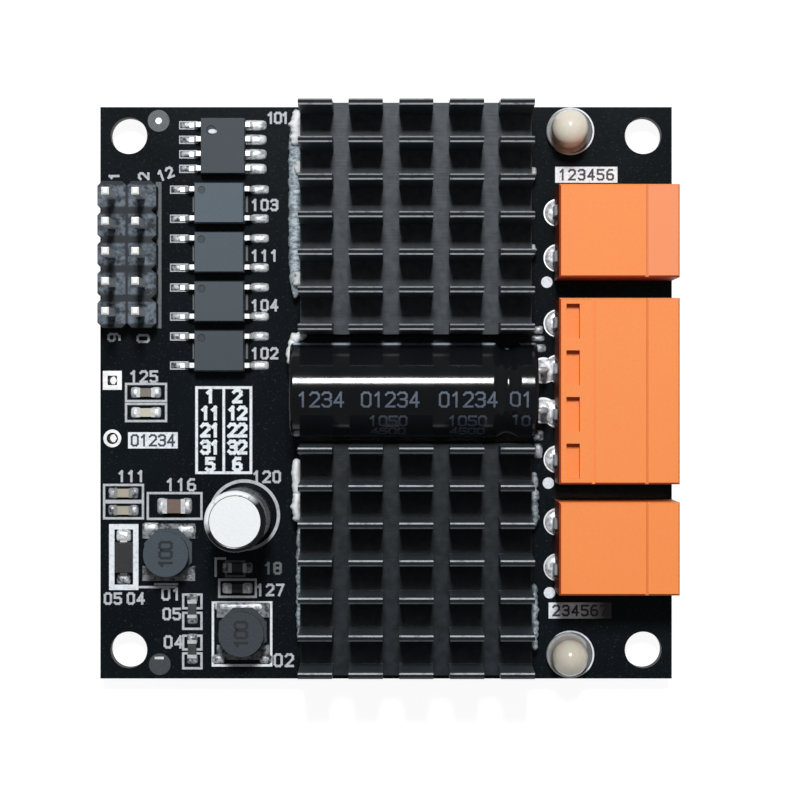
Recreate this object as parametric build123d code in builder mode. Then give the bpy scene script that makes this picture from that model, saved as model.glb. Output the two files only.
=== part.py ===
from build123d import *
import os

os.makedirs("parts", exist_ok=True)

# Circuit board: its underside is the plane Z = 0 and its centre is the origin
board_size = 50.0
board_thickness = 1.6
mounting_hole_spacing = 45.0
mounting_hole_diameter = 3.2
board_edge = board_size / 2
board_top = board_thickness

# Every lead and pin is trimmed to one length below the board
lead_tail = 1.4

# Lead holes are six-sided and round wires eight-sided
lead_hole_sides = 6
wire_sides = 8

# Spare pair of drilled holes beside the left edge
spare_hole_diameter = 0.8
spare_hole_x = -23.95
spare_hole_y = -1.45
spare_hole_pitch = 5.08

# Heatsinks: a comb section drawn along X, cut across into separate fins
heatsink_size = 20.0
heatsink_base = 2.0
heatsink_x = 2.6
heatsink_upper_gap = 0.75
heatsink_lower_gap = 0.5
fin_height = 6.0
fin_rows = 7
fin_columns = 5
fin_root = 1.0
fin_draft = 2.4
fin_tip_chamfer = 0.15
fin_slot = 1.4

# Flat power transistors under the heatsinks, bedded in thermal adhesive
transistor_length = 6.5
transistor_width = 5.2
transistor_height = 1.0
transistor_spacing_x = 9.4
transistor_spacing_y = 9.0
transistor_draft = 6.0
adhesive_thickness = 0.3
adhesive_margin = 0.7
bead_width = 0.7
bead_height = 1.1

# Large electrolytic capacitor lying along X between the heatsinks, measured over its sleeve
bulk_radius = 4.1
bulk_length = 21.2
bulk_socket_gap = 1.75
bulk_y = 0.2
bulk_crimp_depth = 0.45
bulk_crimp_inset = 2.6
bulk_shoulder = 0.35
bulk_lead_diameter = 0.6
bulk_lead_pitch = 3.5
bulk_lead_reach = 0.75
bulk_lead_elbow = 0.4
bulk_lead_hole = 0.75
bulk_bung_radius = 3.2
bulk_bung_length = 1.5
bulk_bung_recess = 0.3

# Small electrolytic capacitor standing near the left edge, measured over its sleeve
small_radius = 2.6
small_length = 10.8
small_heatsink_gap = 2.6
small_y = -10.8
small_crimp_depth = 0.3
small_crimp_inset = 1.6
small_shoulder = 0.3
small_lead_diameter = 0.5
small_lead_pitch = 2.0
small_lead_hole = 0.7
small_bung_radius = 2.0
small_bung_length = 1.6
small_bung_foot = 0.4

# Plug headers along the right edge
motor_socket_poles = 2
power_socket_poles = 4
socket_pitch = 3.96
socket_depth = 10.25
socket_height = 7.4
socket_end_wall = 0.8
socket_floor = 1.0
socket_roof = 1.0
socket_rear_wall = 2.85
socket_edge_chamfer = 0.15
socket_rib = 1.1
socket_corner = 0.9
socket_groove_width = 0.25
socket_groove_depth = 0.12
socket_upper_y = 13.77
socket_power_y = 0.13
socket_lower_y = -13.28
power_slot_length = 2.97
power_slot_width = 1.13
power_slot_depth = 0.9
power_slot_inset = 1.17
power_groove_inset = 2.91
lip_groove_inset = 2.8
contact_width = 0.9
contact_leg_inset = 0.25
contact_height = 3.7
contact_tip_inset = 2.0
contact_tip_chamfer = 0.25
contact_corner = 0.5
contact_hole = 1.5
rear_notch_width = 1.5
rear_notch_depth = 0.85
rear_notch_rise = 0.8

# Two-row control header at the left edge
header_pitch = 2.54
header_rows = 5
header_columns = 2
header_y = 12.0
header_strip_height = 2.5
header_notch = 0.6
header_pin_width = 0.64
header_pin_rise = 8.5
header_pin_chamfer = 0.15
header_pin_hole = 1.1

# Packages with bent leads: the driver chip and the optocouplers
driver_x = -14.2
driver_y = 21.5
driver_body_x = 3.9
driver_body_y = 4.9
driver_body_height = 1.5
driver_span = 6.0
driver_lead_pitch = 1.27
driver_leads_per_side = 4
optocoupler_x = -14.5
optocoupler_top_y = 16.5
optocoupler_spacing = 4.28
optocoupler_count = 4
optocoupler_body_x = 4.4
optocoupler_body_y = 3.6
optocoupler_body_height = 2.0
optocoupler_span = 7.0
optocoupler_lead_pitch = 2.54
optocoupler_leads_per_side = 2
package_standoff = 0.15
package_draft = 7.0
bent_lead_width = 0.42
bent_lead_thickness = 0.2
bent_lead_foot = 0.6
bent_lead_shoulder = 0.2

# Round indicator lamps at the right corners
indicator_x = 15.9
indicator_y = 22.85
indicator_radius = 1.5
indicator_height = 5.3
indicator_flange_radius = 1.9
indicator_flange_height = 1.0
indicator_flat_inset = 0.3
indicator_dome_sides = 12
indicator_lead_pitch = 2.54
indicator_lead_width = 0.5
indicator_lead_hole = 0.9

# Drum inductors
inductor_height = 3.6
inductor_top_radius = 1.95
inductor_base_radius = 2.25
inductor_base_sides = 8
inductor_core_radius = 1.1
inductor_core_sides = 6
inductor_flange = 0.75
inductor_winding_radius = 1.75
inductor_terminal_length = 4.6
inductor_terminal_width = 1.3
inductor_terminal_thickness = 0.15
inductor_terminal_spacing = 3.7
inductor_left = (-19.0, -13.95)
inductor_right = (-12.5, -20.85)

# Chip resistors, ceramic capacitors and the chip lamp
chip_length = 1.6
chip_width = 0.8
chip_height = 0.45
large_chip_length = 2.0
large_chip_width = 1.25
large_chip_height = 0.85
chip_cap_share = 0.2
chip_cap_step = 0.03

# Small diode with flat leads, standing across the board's left edge
diode_x = -22.95
diode_y = -14.4
diode_body_x = 1.6
diode_body_y = 2.7
diode_body_height = 1.1
diode_span = 3.8
diode_lead_width = 0.6
diode_lead_thickness = 0.15
diode_draft = 6.0

socket_rear_x = board_edge - socket_depth
power_slot_x = socket_rear_x + power_slot_inset
power_groove_x = socket_rear_x + power_groove_inset
lip_groove_x = board_edge - lip_groove_inset
contact_leg_x = socket_rear_x + contact_leg_inset
contact_z = board_top + contact_height
contact_tip_x = board_edge - contact_tip_inset
header_x = -board_edge + header_pitch * header_columns / 2
bulk_open_end_x = socket_rear_x - bulk_socket_gap
bulk_closed_end_x = bulk_open_end_x - bulk_length
bulk_lead_x = bulk_open_end_x + bulk_lead_reach
bulk_z = board_top + bulk_radius
heatsink_upper_y = bulk_y + bulk_radius + heatsink_upper_gap + heatsink_size / 2
heatsink_lower_y = bulk_y - bulk_radius - heatsink_lower_gap - heatsink_size / 2
small_x = heatsink_x - heatsink_size / 2 - small_heatsink_gap - small_radius
small_open_end_z = board_top + small_bung_foot
small_closed_end_z = small_open_end_z + small_length
transistor_top = board_top + transistor_height
heatsink_bottom = transistor_top + adhesive_thickness
fin_base_z = heatsink_bottom + heatsink_base
sockets = [
    ("motor_socket_upper", motor_socket_poles, socket_upper_y),
    ("power_socket", power_socket_poles, socket_power_y),
    ("motor_socket_lower", motor_socket_poles, socket_lower_y),
]
heatsinks = [("upper", heatsink_upper_y), ("lower", heatsink_lower_y)]


def spread(count, pitch, middle=0.0):
    """Evenly spaced positions about a middle."""
    return [middle + pitch * (i - (count - 1) / 2) for i in range(count)]


contact_sites = [
    (contact_leg_x, y) for _, poles, middle in sockets for y in spread(poles, socket_pitch, middle)
]
header_sites = [
    (x, y)
    for x in spread(header_columns, header_pitch, header_x)
    for y in spread(header_rows, header_pitch, header_y)
]
bulk_lead_sites = [(bulk_lead_x, y) for y in spread(2, bulk_lead_pitch, bulk_y)]
small_lead_sites = [(small_x, y) for y in spread(2, small_lead_pitch, small_y)]
indicator_sites = [("upper", indicator_y), ("lower", -indicator_y)]
indicator_lead_sites = [
    (x, y) for _, y in indicator_sites for x in spread(2, indicator_lead_pitch, indicator_x)
]
spare_sites = [(spare_hole_x, y) for y in spread(2, spare_hole_pitch, spare_hole_y)]

# Circuit board, drilled for its mounting screws and leads
drilled_sites = [
    (contact_sites, contact_hole),
    (header_sites, header_pin_hole),
    (bulk_lead_sites, bulk_lead_hole),
    (small_lead_sites, small_lead_hole),
    (indicator_lead_sites, indicator_lead_hole),
    (spare_sites, spare_hole_diameter),
]
with BuildPart() as circuit_board:
    with BuildSketch():
        Rectangle(board_size, board_size)
        with GridLocations(mounting_hole_spacing, mounting_hole_spacing, 2, 2):
            Circle(mounting_hole_diameter / 2, mode=Mode.SUBTRACT)
        for sites, diameter in drilled_sites:
            with Locations(*sites):
                RegularPolygon(diameter / 2, lead_hole_sides, mode=Mode.SUBTRACT)
    extrude(amount=board_thickness)
circuit_board.part.label = "circuit_board"
export_step(circuit_board.part, "parts/circuit_board.step")

# Heatsinks
fin_pitch = (heatsink_size - fin_root) / (fin_rows - 1)
fin_width = (heatsink_size - fin_slot * (fin_columns - 1)) / fin_columns
for name, middle in heatsinks:
    with BuildPart() as heatsink:
        with BuildSketch(Plane.YZ.offset(heatsink_x - heatsink_size / 2)) as comb:
            with Locations((middle, heatsink_bottom)):
                Rectangle(heatsink_size, heatsink_base, align=(Align.CENTER, Align.MIN))
            with Locations(*[(y, fin_base_z) for y in spread(fin_rows, fin_pitch, middle)]):
                Trapezoid(fin_root, fin_height, 90 - fin_draft, align=(Align.CENTER, Align.MIN))
            chamfer(comb.vertices().group_by(Axis.Y)[-1], fin_tip_chamfer)
        extrude(amount=heatsink_size)
        with BuildSketch(Plane.XY.offset(fin_base_z)):
            with Locations((heatsink_x, middle)):
                with GridLocations(fin_width + fin_slot, 0, fin_columns - 1, 1):
                    Rectangle(fin_slot, heatsink_size)
        extrude(amount=fin_height, mode=Mode.SUBTRACT)
    heatsink.part.label = f"heatsink_{name}"
    export_step(heatsink.part, f"parts/heatsink_{name}.step")

# Thermal adhesive: a layer under each heatsink and the beads squeezed out along its sides
adhesive_size = heatsink_size - 2 * adhesive_margin
bead_offset = heatsink_size / 2 + bead_width / 2
bead_runs = {
    "upper": [(-1, 1.3, 15.6)],
    "lower": [(-1, 5.9, 5.2), (1, 5.0, 4.8), (1, -5.2, 5.6)],
}
for name, middle in heatsinks:
    with BuildPart() as adhesive:
        with BuildSketch(Plane.XY.offset(transistor_top)):
            with Locations((heatsink_x, middle)):
                Rectangle(adhesive_size, adhesive_size)
            for side, offset_y, length in bead_runs[name]:
                with Locations((heatsink_x + side * bead_offset, middle + offset_y)):
                    Rectangle(bead_width, length)
                with Locations((heatsink_x + side * heatsink_size / 2, middle + offset_y)):
                    Rectangle(4 * adhesive_margin, length)
        extrude(amount=adhesive_thickness)
        with BuildSketch(Plane.XY.offset(heatsink_bottom)):
            for side, offset_y, length in bead_runs[name]:
                with Locations((heatsink_x + side * bead_offset, middle + offset_y)):
                    Rectangle(bead_width, length)
        extrude(amount=bead_height)
        chamfer(adhesive.faces().sort_by(Axis.Z)[-1].edges(), bead_width / 3)
    adhesive.part.label = f"thermal_adhesive_{name}"
    export_step(adhesive.part, f"parts/thermal_adhesive_{name}.step")

# Power transistors, four under each heatsink
transistor_sites = [
    (x, y)
    for _, middle in heatsinks
    for y in spread(2, -transistor_spacing_y, middle)
    for x in spread(2, transistor_spacing_x, heatsink_x)
]
for index, (x, y) in enumerate(transistor_sites, start=1):
    with BuildPart() as transistor:
        with BuildSketch(Plane.XY.offset(board_top)):
            with Locations((x, y)):
                Rectangle(transistor_length, transistor_width)
        extrude(amount=transistor_height, taper=transistor_draft)
    transistor.part.label = f"power_transistor_{index}"
    export_step(transistor.part, f"parts/power_transistor_{index}.step")

# Electrolytic capacitors: a sleeved and crimped can closed by a rubber bung
capacitors = [
    (
        "bulk_capacitor",
        Plane((bulk_closed_end_x, bulk_y, bulk_z), x_dir=(1, 0, 0), z_dir=(0, -1, 0)),
        (bulk_radius, bulk_length, bulk_shoulder),
        (bulk_crimp_depth, bulk_crimp_inset),
        (bulk_bung_radius, bulk_length - bulk_bung_recess, bulk_bung_length),
    ),
    (
        "small_capacitor",
        Plane((small_x, small_y, small_closed_end_z), x_dir=(0, 0, -1), z_dir=(0, -1, 0)),
        (small_radius, small_length, small_shoulder),
        (small_crimp_depth, small_crimp_inset),
        (small_bung_radius, small_length + small_bung_foot, small_bung_length),
    ),
]
for name, plane, can_sizes, (crimp_depth, crimp_inset), bung_sizes in capacitors:
    radius, length, shoulder = can_sizes
    bung_radius, bung_end, bung_length = bung_sizes
    bung_start = bung_end - bung_length
    can_axis = Axis(plane.origin, plane.x_dir)

    with BuildPart() as can:
        with BuildSketch(plane) as half_section:
            Rectangle(length, radius, align=(Align.MIN, Align.MIN))
            chamfer(half_section.vertices().group_by(Axis.Y)[-1].sort_by(Axis.X)[0], shoulder)
            with Locations((length - crimp_inset, radius)):
                Polygon(
                    (-2 * crimp_depth, 0),
                    (0, -crimp_depth),
                    (2 * crimp_depth, 0),
                    align=None,
                    mode=Mode.SUBTRACT,
                )
            with Locations((bung_start, 0)):
                Rectangle(length, bung_radius, align=(Align.MIN, Align.MIN), mode=Mode.SUBTRACT)
        revolve(axis=can_axis)
    can.part.label = f"{name}_can"
    export_step(can.part, f"parts/{name}_can.step")

    with BuildPart() as bung:
        with BuildSketch(plane):
            with Locations((bung_start, 0)):
                Rectangle(bung_length, bung_radius, align=(Align.MIN, Align.MIN))
        revolve(axis=can_axis)
    bung.part.label = f"{name}_bung"
    export_step(bung.part, f"parts/{name}_bung.step")

# Leads of the large capacitor, bent down into the board
with BuildPart() as bulk_capacitor_leads:
    bung_face_x = bulk_open_end_x - bulk_bung_recess
    for _, y in bulk_lead_sites:
        with BuildLine(Plane.XZ.offset(-y)) as route:
            Polyline(
                (bung_face_x, bulk_z),
                (bulk_lead_x - bulk_lead_elbow, bulk_z),
                (bulk_lead_x, bulk_z - bulk_lead_elbow),
                (bulk_lead_x, -lead_tail),
            )
        with BuildSketch(Plane((bung_face_x, y, bulk_z), x_dir=(0, 1, 0), z_dir=(1, 0, 0))):
            RegularPolygon(bulk_lead_diameter / 2, wire_sides)
        sweep(path=route.wires()[0], transition=Transition.RIGHT)
bulk_capacitor_leads.part.label = "bulk_capacitor_leads"
export_step(bulk_capacitor_leads.part, "parts/bulk_capacitor_leads.step")

# Leads of the small capacitor, straight down from its bung
with BuildPart() as small_capacitor_leads:
    with BuildSketch(Plane.XY.offset(-lead_tail)):
        with Locations(*small_lead_sites):
            RegularPolygon(small_lead_diameter / 2, wire_sides)
    extrude(amount=lead_tail + board_top)
small_capacitor_leads.part.label = "small_capacitor_leads"
export_step(small_capacitor_leads.part, "parts/small_capacitor_leads.step")

# Plug headers: an orange shroud open to the right and its bent contact pins
cavity_x = socket_rear_x + socket_rear_wall
cavity_height = socket_height - socket_floor - socket_roof
cavity_top = board_top + socket_height - socket_roof
for name, poles, middle in sockets:
    length = poles * socket_pitch
    pole_sites = spread(poles, socket_pitch, middle)
    rib_sites = spread(poles - 1, socket_pitch, middle)
    socket_centre = (socket_rear_x + socket_depth / 2, middle)

    with BuildPart() as shroud:
        with BuildSketch(Plane.XY.offset(board_top)):
            with Locations(socket_centre):
                Rectangle(socket_depth, length)
        extrude(amount=socket_height)
        chamfer(shroud.faces().sort_by(Axis.Z)[-1].edges(), socket_edge_chamfer)
        with BuildSketch(Plane.YZ.offset(cavity_x)) as mouth:
            with Locations((middle, cavity_top)):
                Rectangle(length - 2 * socket_end_wall, cavity_height, align=(Align.CENTER, Align.MAX))
            chamfer(mouth.vertices().group_by(Axis.Y)[-1], socket_corner)
            with Locations(*[(y, cavity_top) for y in rib_sites]):
                Rectangle(socket_rib, socket_rib, rotation=45, mode=Mode.SUBTRACT)
        extrude(amount=socket_depth, mode=Mode.SUBTRACT)
        with BuildSketch(Plane.YZ.offset(socket_rear_x)):
            with Locations(*[(y, contact_z) for y in pole_sites]):
                Rectangle(contact_width, contact_width)
        extrude(amount=socket_rear_wall, mode=Mode.SUBTRACT)
        with BuildSketch(Plane.YZ.offset(socket_rear_x)):
            with Locations(*[(y, board_top) for y in pole_sites]):
                Rectangle(
                    rear_notch_width, contact_height + rear_notch_rise, align=(Align.CENTER, Align.MIN)
                )
        extrude(amount=rear_notch_depth, mode=Mode.SUBTRACT)
        with BuildSketch(Plane.XY.offset(board_top + socket_height)):
            with Locations((lip_groove_x, middle)):
                Rectangle(socket_groove_width, length)
            if poles == power_socket_poles:
                with Locations((power_groove_x, middle)):
                    Rectangle(socket_groove_width, length)
        extrude(amount=-socket_groove_depth, mode=Mode.SUBTRACT)
        if poles == power_socket_poles:
            with BuildSketch(Plane.XY.offset(board_top + socket_height)):
                with Locations(*[(power_slot_x, y) for y in pole_sites]):
                    Rectangle(power_slot_width, power_slot_length)
            extrude(amount=-power_slot_depth, mode=Mode.SUBTRACT)
    shroud.part.label = f"{name}_shroud"
    export_step(shroud.part, f"parts/{name}_shroud.step")

    with BuildPart() as pins:
        for y in pole_sites:
            with BuildSketch(Plane.XZ.offset(-y)) as pin:
                with BuildLine():
                    Polyline(
                        (contact_tip_x, contact_z - contact_width / 2),
                        (contact_tip_x, contact_z + contact_width / 2),
                        (contact_leg_x - contact_width / 2, contact_z + contact_width / 2),
                        (contact_leg_x - contact_width / 2, -lead_tail),
                        (contact_leg_x + contact_width / 2, -lead_tail),
                        (contact_leg_x + contact_width / 2, contact_z - contact_width / 2),
                        close=True,
                    )
                make_face()
                chamfer(pin.vertices().group_by(Axis.X)[-1], contact_tip_chamfer)
                chamfer(pin.vertices().group_by(Axis.X)[0].sort_by(Axis.Y)[-1], contact_corner)
            extrude(amount=contact_width / 2, both=True)
    pins.part.label = f"{name}_pins"
    export_step(pins.part, f"parts/{name}_pins.step")

# Control header: a notched strip and its pins
header_width = header_columns * header_pitch
header_length = header_rows * header_pitch
with BuildPart() as control_header_strip:
    with BuildSketch(Plane.XY.offset(board_top)):
        with Locations((header_x, header_y)):
            Rectangle(header_width, header_length)
            with GridLocations(header_width, header_pitch, 2, header_rows + 1):
                Rectangle(header_notch, header_notch, rotation=45, mode=Mode.SUBTRACT)
            with GridLocations(0, header_length, 1, 2):
                Rectangle(header_notch, header_notch, rotation=45, mode=Mode.SUBTRACT)
        with Locations(*header_sites):
            Rectangle(header_pin_width, header_pin_width, mode=Mode.SUBTRACT)
    extrude(amount=header_strip_height)
control_header_strip.part.label = "control_header_strip"
export_step(control_header_strip.part, "parts/control_header_strip.step")

with BuildPart() as control_header_pins:
    with BuildSketch(Plane.XY.offset(-lead_tail)):
        with Locations(*header_sites):
            Rectangle(header_pin_width, header_pin_width)
    extrude(amount=lead_tail + board_top + header_pin_rise)
    chamfer(control_header_pins.edges().group_by(Axis.Z)[-1], header_pin_chamfer)
control_header_pins.part.label = "control_header_pins"
export_step(control_header_pins.part, "parts/control_header_pins.step")


def bent_lead(inner_x, outer_x, shoulder_z):
    """Corners of one bent lead seen from the side, from the package out to its foot."""
    side = 1 if outer_x > inner_x else -1
    bend_x = inner_x + side * bent_lead_shoulder
    heel_x = outer_x - side * bent_lead_foot
    outward = side * bent_lead_thickness
    return [
        (inner_x, shoulder_z),
        (bend_x, shoulder_z),
        (heel_x, board_top),
        (outer_x, board_top),
        (outer_x, board_top + bent_lead_thickness),
        (heel_x + outward, board_top + bent_lead_thickness),
        (bend_x + outward, shoulder_z + bent_lead_thickness),
        (inner_x, shoulder_z + bent_lead_thickness),
    ]


# Packages with bent leads
driver = (
    "driver_chip",
    (driver_x, driver_y),
    (driver_body_x, driver_body_y, driver_body_height),
    driver_span,
    (driver_leads_per_side, driver_lead_pitch),
)
optocouplers = [
    (
        f"optocoupler_{index + 1}",
        (optocoupler_x, optocoupler_top_y - index * optocoupler_spacing),
        (optocoupler_body_x, optocoupler_body_y, optocoupler_body_height),
        optocoupler_span,
        (optocoupler_leads_per_side, optocoupler_lead_pitch),
    )
    for index in range(optocoupler_count)
]
for name, (x, y), (body_x, body_y, body_height), span, (leads_per_side, pitch) in [driver, *optocouplers]:
    body_bottom = board_top + package_standoff
    shoulder_z = body_bottom + (body_height - bent_lead_thickness) / 2
    taper_height = shoulder_z - body_bottom

    with BuildPart() as package_body:
        with BuildSketch(Plane.XY.offset(shoulder_z)) as outline:
            with Locations((x, y)):
                Rectangle(body_x, body_y)
        extrude(amount=bent_lead_thickness)
        extrude(outline.sketch, amount=-taper_height, taper=package_draft)
        with BuildSketch(Plane.XY.offset(shoulder_z + bent_lead_thickness)):
            with Locations((x, y)):
                Rectangle(body_x, body_y)
        extrude(amount=taper_height, taper=package_draft)
    package_body.part.label = f"{name}_body"
    export_step(package_body.part, f"parts/{name}_body.step")

    with BuildPart() as package_leads:
        for lead_y in spread(leads_per_side, pitch, y):
            with BuildSketch(Plane.XZ.offset(-lead_y)):
                for side in (-1, 1):
                    with BuildLine():
                        corners = bent_lead(x + side * body_x / 2, x + side * span / 2, shoulder_z)
                        Polyline(*corners, close=True)
                    make_face()
            extrude(amount=bent_lead_width / 2, both=True)
    package_leads.part.label = f"{name}_leads"
    export_step(package_leads.part, f"parts/{name}_leads.step")

# Round indicator lamps
for name, y in indicator_sites:
    shoulder_z = board_top + indicator_height - indicator_radius
    lead_sites = [(x, y) for x in spread(2, indicator_lead_pitch, indicator_x)]

    with BuildPart() as lens:
        with BuildSketch(Plane((indicator_x, y, 0), x_dir=(1, 0, 0), z_dir=(0, -1, 0))):
            with Locations((0, shoulder_z)):
                RegularPolygon(indicator_radius, indicator_dome_sides)
            with Locations((0, board_top)):
                Rectangle(indicator_radius, shoulder_z - board_top, align=(Align.MIN, Align.MIN))
                Rectangle(
                    indicator_flange_radius, indicator_flange_height, align=(Align.MIN, Align.MIN)
                )
            with Locations((0, shoulder_z)):
                Rectangle(
                    2 * indicator_radius,
                    2 * indicator_radius,
                    align=(Align.MAX, Align.CENTER),
                    mode=Mode.SUBTRACT,
                )
        revolve(axis=Axis((indicator_x, y, 0), (0, 0, 1)))
        with BuildSketch(Plane.XY.offset(board_top)):
            with Locations((indicator_x + indicator_flange_radius - indicator_flat_inset, y)):
                Rectangle(
                    indicator_flange_radius,
                    2 * indicator_flange_radius,
                    align=(Align.MIN, Align.CENTER),
                )
        extrude(amount=indicator_flange_height, mode=Mode.SUBTRACT)
    lens.part.label = f"indicator_lens_{name}"
    export_step(lens.part, f"parts/indicator_lens_{name}.step")

    with BuildPart() as indicator_leads:
        with BuildSketch(Plane.XY.offset(-lead_tail)):
            with Locations(*lead_sites):
                Rectangle(indicator_lead_width, indicator_lead_width)
        extrude(amount=lead_tail + board_top)
    indicator_leads.part.label = f"indicator_leads_{name}"
    export_step(indicator_leads.part, f"parts/indicator_leads_{name}.step")

# Drum inductors: a ferrite drum on two soldered terminals, wound round its waist
drum_bottom = board_top + inductor_terminal_thickness
drum_top = board_top + inductor_height
waist_bottom = drum_bottom + inductor_flange
waist_top = drum_top - inductor_flange
for name, (x, y) in (("left", inductor_left), ("right", inductor_right)):
    with BuildPart() as drum:
        with BuildSketch(Plane.XY.offset(drum_bottom)):
            with Locations((x, y)):
                RegularPolygon(inductor_base_radius, inductor_base_sides, rotation=180 / inductor_base_sides)
        extrude(amount=inductor_flange)
        with BuildSketch(Plane.XY.offset(waist_bottom)):
            with Locations((x, y)):
                RegularPolygon(inductor_core_radius, inductor_core_sides)
        extrude(amount=waist_top - waist_bottom)
        with BuildSketch(Plane.XY.offset(waist_top)):
            with Locations((x, y)):
                Circle(inductor_top_radius)
        extrude(amount=inductor_flange)
    drum.part.label = f"inductor_core_{name}"
    export_step(drum.part, f"parts/inductor_core_{name}.step")

    with BuildPart() as winding:
        with BuildSketch(Plane.XY.offset(waist_bottom)):
            with Locations((x, y)):
                Circle(inductor_winding_radius)
                RegularPolygon(inductor_core_radius, inductor_core_sides, mode=Mode.SUBTRACT)
        extrude(amount=waist_top - waist_bottom)
        with BuildSketch(Plane.XY.offset(board_top)):
            with Locations((x, y)):
                with GridLocations(0, inductor_terminal_spacing, 1, 2):
                    Rectangle(inductor_terminal_length, inductor_terminal_width)
        extrude(amount=inductor_terminal_thickness)
    winding.part.label = f"inductor_winding_{name}"
    export_step(winding.part, f"parts/inductor_winding_{name}.step")

# Chip parts: a ceramic block between two slightly thicker end caps
small_chip = (chip_length, chip_width, chip_height)
large_chip = (large_chip_length, large_chip_width, large_chip_height)
chips = [
    ("state_lamp", (-21.0, -1.72), small_chip, 0),
    ("resistor_1", (-21.0, 0.03), small_chip, 0),
    ("resistor_2", (-13.0, -15.3), small_chip, 0),
    ("resistor_3", (-13.0, -17.1), small_chip, 0),
    ("resistor_4", (-16.95, -18.9), small_chip, 90),
    ("resistor_5", (-16.95, -22.4), small_chip, 90),
    ("ceramic_capacitor_1", (-22.97, -8.76), small_chip, 0),
    ("ceramic_capacitor_2", (-22.97, -10.28), small_chip, 0),
    ("ceramic_capacitor_3", (-18.5, -9.9), large_chip, 0),
]
for name, (x, y), (length, width, height), turn in chips:
    with BuildPart() as chip:
        with BuildSketch(Plane.XY.offset(board_top + chip_cap_step)):
            with Locations(Location((x, y), turn)):
                Rectangle(length, width - 2 * chip_cap_step)
        extrude(amount=height - 2 * chip_cap_step)
        with BuildSketch(Plane.XY.offset(board_top)):
            with Locations(Location((x, y), turn)):
                with GridLocations(length * (1 - chip_cap_share), 0, 2, 1):
                    Rectangle(length * chip_cap_share, width)
        extrude(amount=height)
    chip.part.label = name
    export_step(chip.part, f"parts/{name}.step")

# Small diode and its flat leads
diode_lead_z = board_top + diode_lead_thickness
with BuildPart() as diode_body:
    with BuildSketch(Plane.XY.offset(diode_lead_z)):
        with Locations((diode_x, diode_y)):
            Rectangle(diode_body_x, diode_body_y)
    extrude(amount=diode_body_height - diode_lead_thickness, taper=diode_draft)
diode_body.part.label = "diode_body"
export_step(diode_body.part, "parts/diode_body.step")

with BuildPart() as diode_leads:
    with BuildSketch(Plane.XY.offset(board_top)):
        with Locations((diode_x, diode_y)):
            Rectangle(diode_lead_width, diode_span)
            Rectangle(diode_lead_width, diode_body_y / 2, mode=Mode.SUBTRACT)
    extrude(amount=diode_lead_thickness)
diode_leads.part.label = "diode_leads"
export_step(diode_leads.part, "parts/diode_leads.step")
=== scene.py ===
import math

import bpy
import numpy as np
from bpy.props import FloatProperty, FloatVectorProperty, PointerProperty
from bpy.types import Operator, Panel, PropertyGroup
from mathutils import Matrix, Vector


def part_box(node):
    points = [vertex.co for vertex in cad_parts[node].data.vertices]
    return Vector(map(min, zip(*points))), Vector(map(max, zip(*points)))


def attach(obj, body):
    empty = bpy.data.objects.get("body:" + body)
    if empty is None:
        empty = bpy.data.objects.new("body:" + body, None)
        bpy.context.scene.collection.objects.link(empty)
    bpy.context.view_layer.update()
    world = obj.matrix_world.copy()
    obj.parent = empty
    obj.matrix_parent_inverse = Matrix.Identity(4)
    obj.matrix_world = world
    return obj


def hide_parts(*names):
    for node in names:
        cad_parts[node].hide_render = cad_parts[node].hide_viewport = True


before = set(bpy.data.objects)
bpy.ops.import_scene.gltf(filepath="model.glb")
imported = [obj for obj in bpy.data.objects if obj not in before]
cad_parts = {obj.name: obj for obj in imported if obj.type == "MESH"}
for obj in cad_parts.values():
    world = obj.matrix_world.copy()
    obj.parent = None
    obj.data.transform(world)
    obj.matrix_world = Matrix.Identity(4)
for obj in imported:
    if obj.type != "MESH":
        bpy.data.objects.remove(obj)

bl_info = {
    "name": "Motor driver module",
    "version": (1, 0, 0),
    "blender": (4, 5, 0),
    "location": "View3D > Sidebar > Driver module",
    "description": "Finishes, solder, print and stage of the motor driver module",
    "category": "Object",
}

PACKAGES = ["driver_chip", "optocoupler_1", "optocoupler_2", "optocoupler_3", "optocoupler_4"]
SOCKETS = {"motor_socket_upper": 2, "power_socket": 4, "motor_socket_lower": 2}
CHIPS = ["resistor_1", "resistor_2", "resistor_3", "resistor_4", "resistor_5"]
CERAMICS = ["ceramic_capacitor_1", "ceramic_capacitor_2", "ceramic_capacitor_3"]

# Half the width of the solids' leads, in millimetres
CONTACT_HALF, PIN_HALF, WIRE_HALF, LEAD_HALF = 0.45, 0.32, 0.3, 0.21


def extent(node):
    """Lowest and highest corner of one solid, in millimetres."""
    low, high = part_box(node)
    return np.array(low) * 1000, np.array(high) * 1000


def middle(node):
    """Centre of one solid, in millimetres."""
    low, high = extent(node)
    return (low + high) / 2


def lead_rows(package):
    """Lowest and highest corner of a package's leads, and its rows' places along Y, in millimetres."""
    low, high = extent(f"{package}_leads")
    count = 4 if package == "driver_chip" else 2
    return low, high, np.linspace(low[1] + LEAD_HALF, high[1] - LEAD_HALF, count)


BOARD_EDGE, BOARD_TOP = (float(extent("circuit_board")[1][axis]) for axis in (0, 2))


# Shapes

def piece(name, shape, finish, stands_for=(), smooth=True):
    """A piece made of points in millimetres and faces, riding on the module's one body."""
    points, faces = shape
    mesh = bpy.data.meshes.new(name)
    mesh.from_pydata((points / 1000).tolist(), [], faces)
    mesh.polygons.foreach_set("use_smooth", np.full(len(mesh.polygons), smooth))
    mesh.materials.append(finish)
    made = bpy.data.objects.new(name, mesh)
    bpy.context.scene.collection.objects.link(made)
    if stands_for:
        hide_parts(*stands_for)
    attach(made, "root")


def flat_piece(name, shapes, finish):
    """One piece of several shapes with sharp edges."""
    return piece(name, together(*shapes), finish, smooth=False)


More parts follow.
